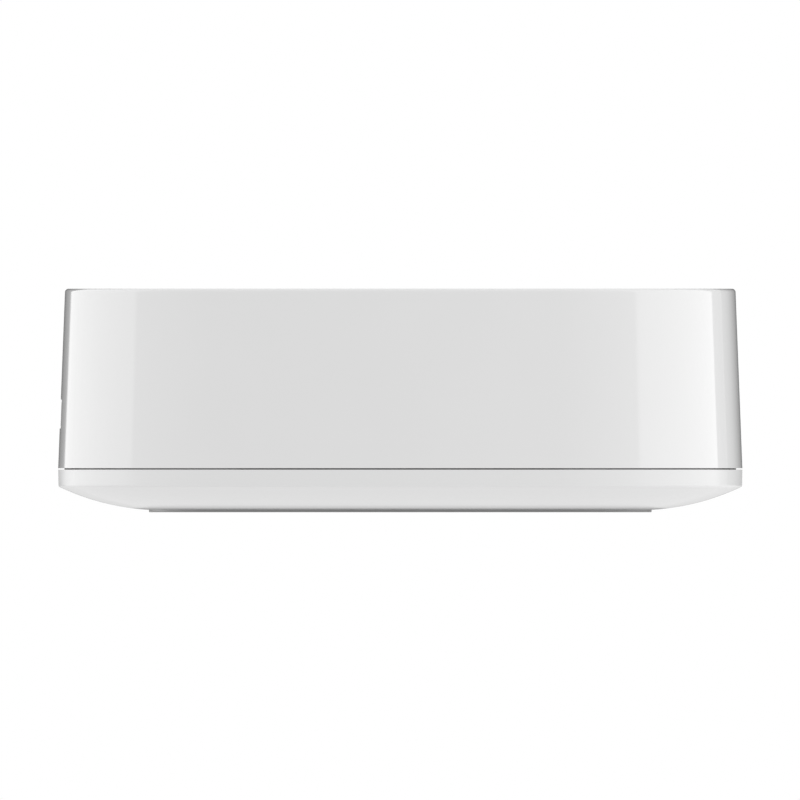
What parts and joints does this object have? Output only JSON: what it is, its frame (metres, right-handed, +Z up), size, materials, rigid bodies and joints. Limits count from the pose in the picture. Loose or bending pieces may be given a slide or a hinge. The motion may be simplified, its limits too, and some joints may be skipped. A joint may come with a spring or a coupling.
{
  "type": "smart home hub",
  "caption": "Low soft-square table-top hub with a leaning side wall, a shallow bowl base on a foot ring, rear sockets and a side push button.",
  "frame": {"origin": "under the middle of the hub, on the surface that the foot ring stands on", "axes": "+Z up; the front faces -Y, the sockets face +Y and the pairing button faces -X"},
  "size_m": [0.098, 0.098, 0.032],
  "materials": {
    "gloss_white_plastic": "gloss moulded",
    "satin_white_plastic": "satin moulded",
    "grey_plastic": "fine matte",
    "black_plastic": "moulded",
    "foot_rubber": "matte",
    "label_film": "blank satin film",
    "circuit_board": "solder mask",
    "radio_board": "solder mask",
    "chip_epoxy": "moulded",
    "thermal_silicone": "matte",
    "anodised_aluminium": "anodised",
    "capacitor_can": "drawn",
    "ceramic": "fired",
    "tinned_steel": "tin plated",
    "screw_steel": "zinc plated",
    "gold_contact": "gold flashed",
    "lamp_lens": "clear",
    "light_guide": "polished acrylic"
  },
  "bodies": {
    "housing": {"top_shell": "gloss_white_plastic", "base_shell": "satin_white_plastic", "foot_ring": "foot_rubber", "rating_label": "label_film", "port_plate": "grey_plastic", "case_screws": "screw_steel", "board_screws": "screw_steel", "main_board": "circuit_board", "processor": "chip_epoxy", "thermal_pad": "thermal_silicone", "heat_sink": "anodised_aluminium", "heat_sink_pins": "black_plastic", "memory_chip": "chip_epoxy", "flash_chip": "chip_epoxy", "regulator_chips": "chip_epoxy", "ethernet_transformer": "chip_epoxy", "power_inductor": "chip_epoxy", "storage_capacitors": "capacitor_can", "crystal_can": "tinned_steel", "ceramic_parts": "ceramic", "wifi_module": "radio_board", "wifi_shield_can": "tinned_steel", "mesh_radio_module": "radio_board", "mesh_radio_shield_can": "tinned_steel", "left_antenna": "tinned_steel", "right_antenna": "tinned_steel", "ethernet_jack_housing": "black_plastic", "ethernet_jack_shield": "tinned_steel", "ethernet_jack_contacts": "gold_contact", "ethernet_jack_lamps": "lamp_lens", "power_jack_body": "black_plastic", "power_jack_pin": "tinned_steel", "pairing_switch": "black_plastic", "reset_switch": "black_plastic", "status_lamp": "lamp_lens", "light_pipe": "light_guide"},
    "pairing_button": {"pairing_button_cap": "gloss_white_plastic", "pairing_switch_plunger": "black_plastic"},
    "reset_button": {"reset_switch_plunger": "black_plastic"}
  },
  "joints": [
    {"name": "pairing_button_press", "type": "slide", "parent": "housing", "child": "pairing_button", "axis": [1, 0, 0], "range_m": [0, 0.0003], "stiffness_N_per_m": 4000},
    {"name": "reset_button_press", "type": "slide", "parent": "housing", "child": "reset_button", "axis": [0, -1, 0], "range_m": [0, 0.0003], "stiffness_N_per_m": 4000}
  ]
}
